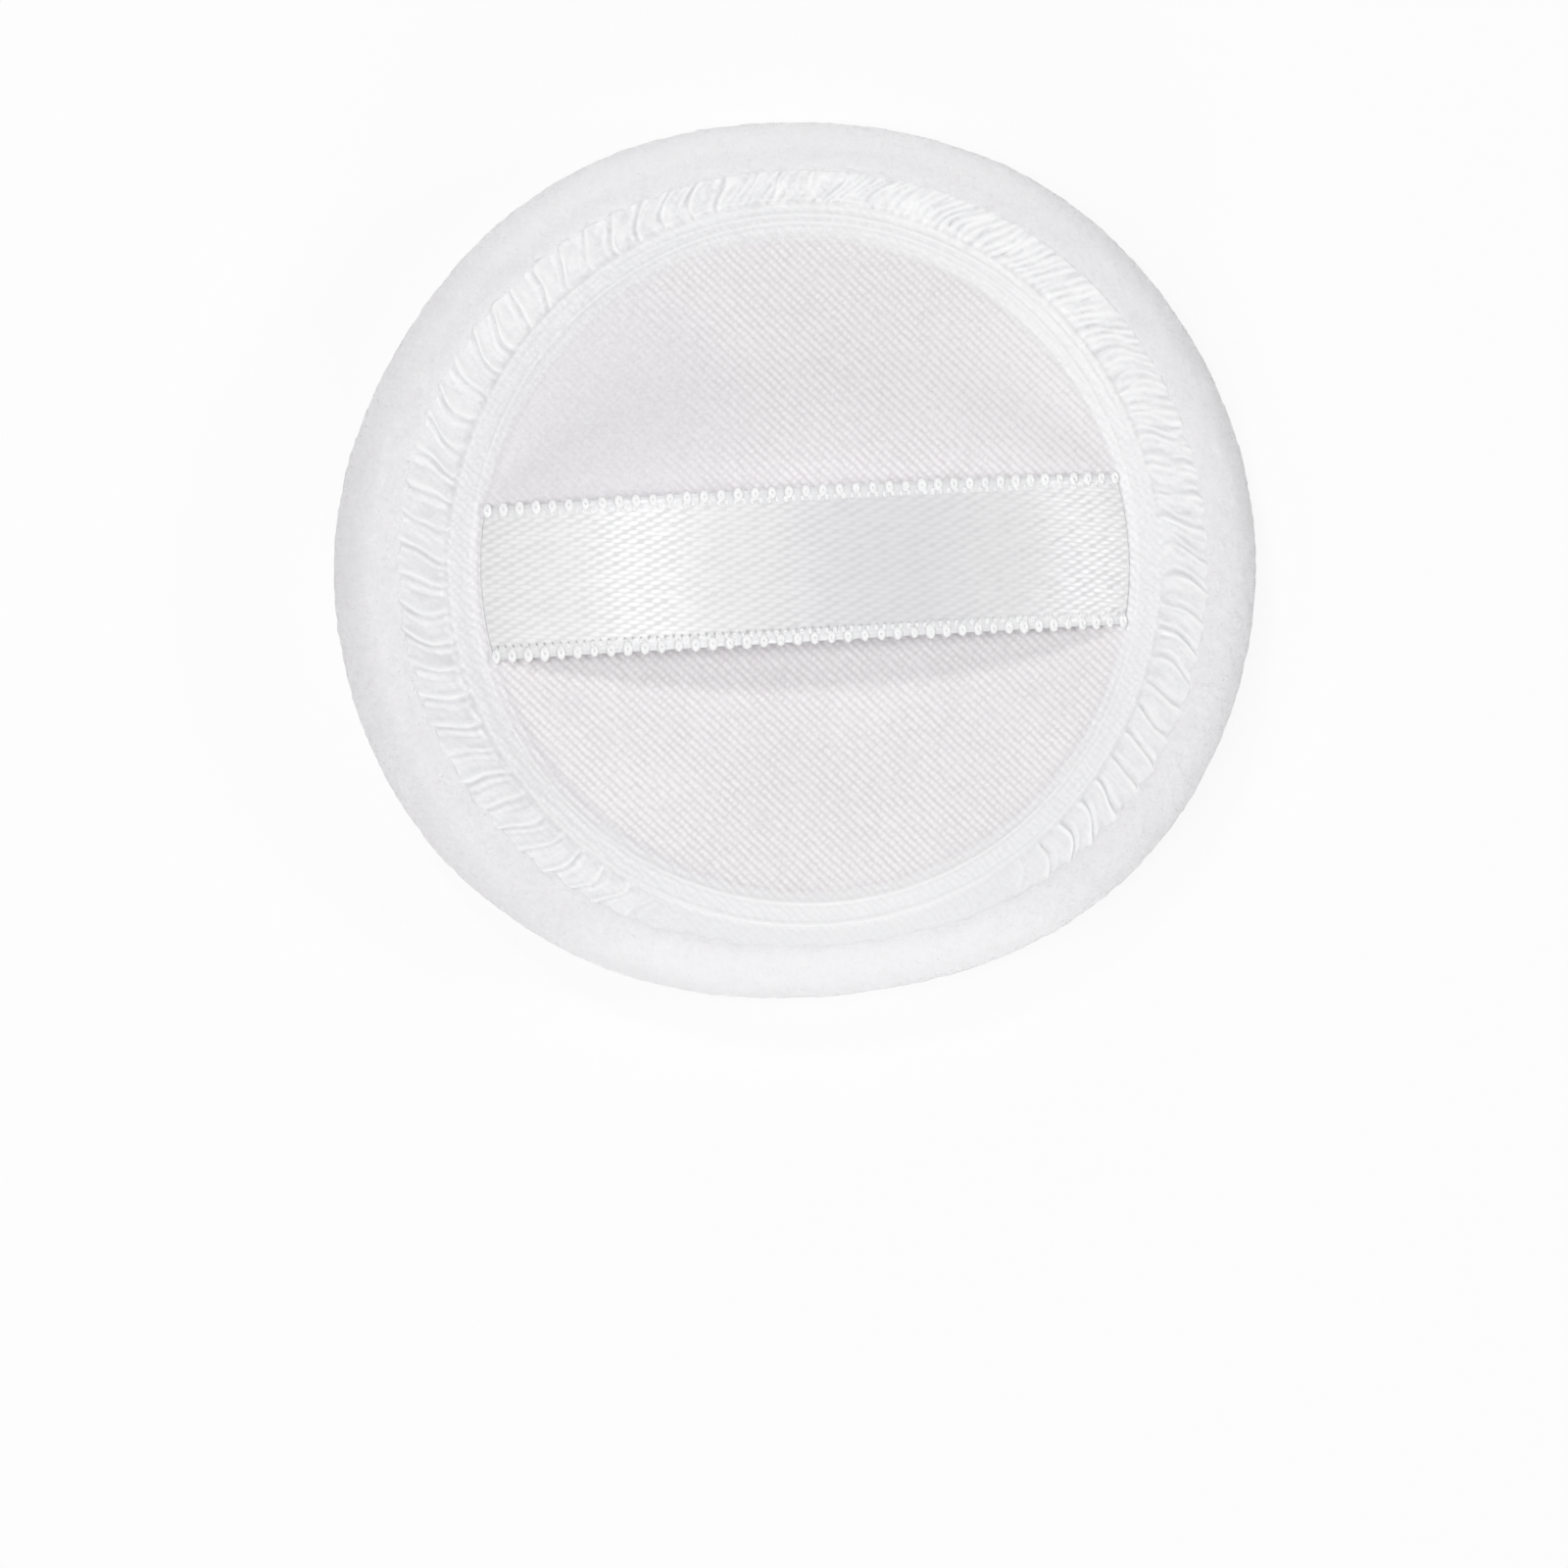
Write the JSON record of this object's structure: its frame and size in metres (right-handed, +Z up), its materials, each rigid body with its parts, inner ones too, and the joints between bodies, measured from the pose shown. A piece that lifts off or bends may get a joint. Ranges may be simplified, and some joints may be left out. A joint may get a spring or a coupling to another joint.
{
  "type": "powder puff",
  "caption": "Round velour powder puff with a ribbed satin back and an arched ribbon finger loop.",
  "frame": {"origin": "on the velour face, under the middle of the outline's box", "axes": "+Z up from the velour face through the satin back, +X along the ribbon, +Y away from the side that is drawn in most"},
  "size_m": [0.08, 0.0764, 0.0171],
  "materials": {
    "velour": "matte",
    "foam": "matte",
    "stiffener": "matte",
    "satin": "satin",
    "thread": "matte",
    "ribbon": "satin"
  },
  "bodies": {
    "root": {"velour_cover": "velour", "foam_core": "foam", "backing_stiffener": "stiffener", "satin_backing": "satin", "overlock_thread": "thread", "ribbon_band": "ribbon", "ribbon_tack_left": "thread", "ribbon_tack_right": "thread"}
  },
  "joints": []
}
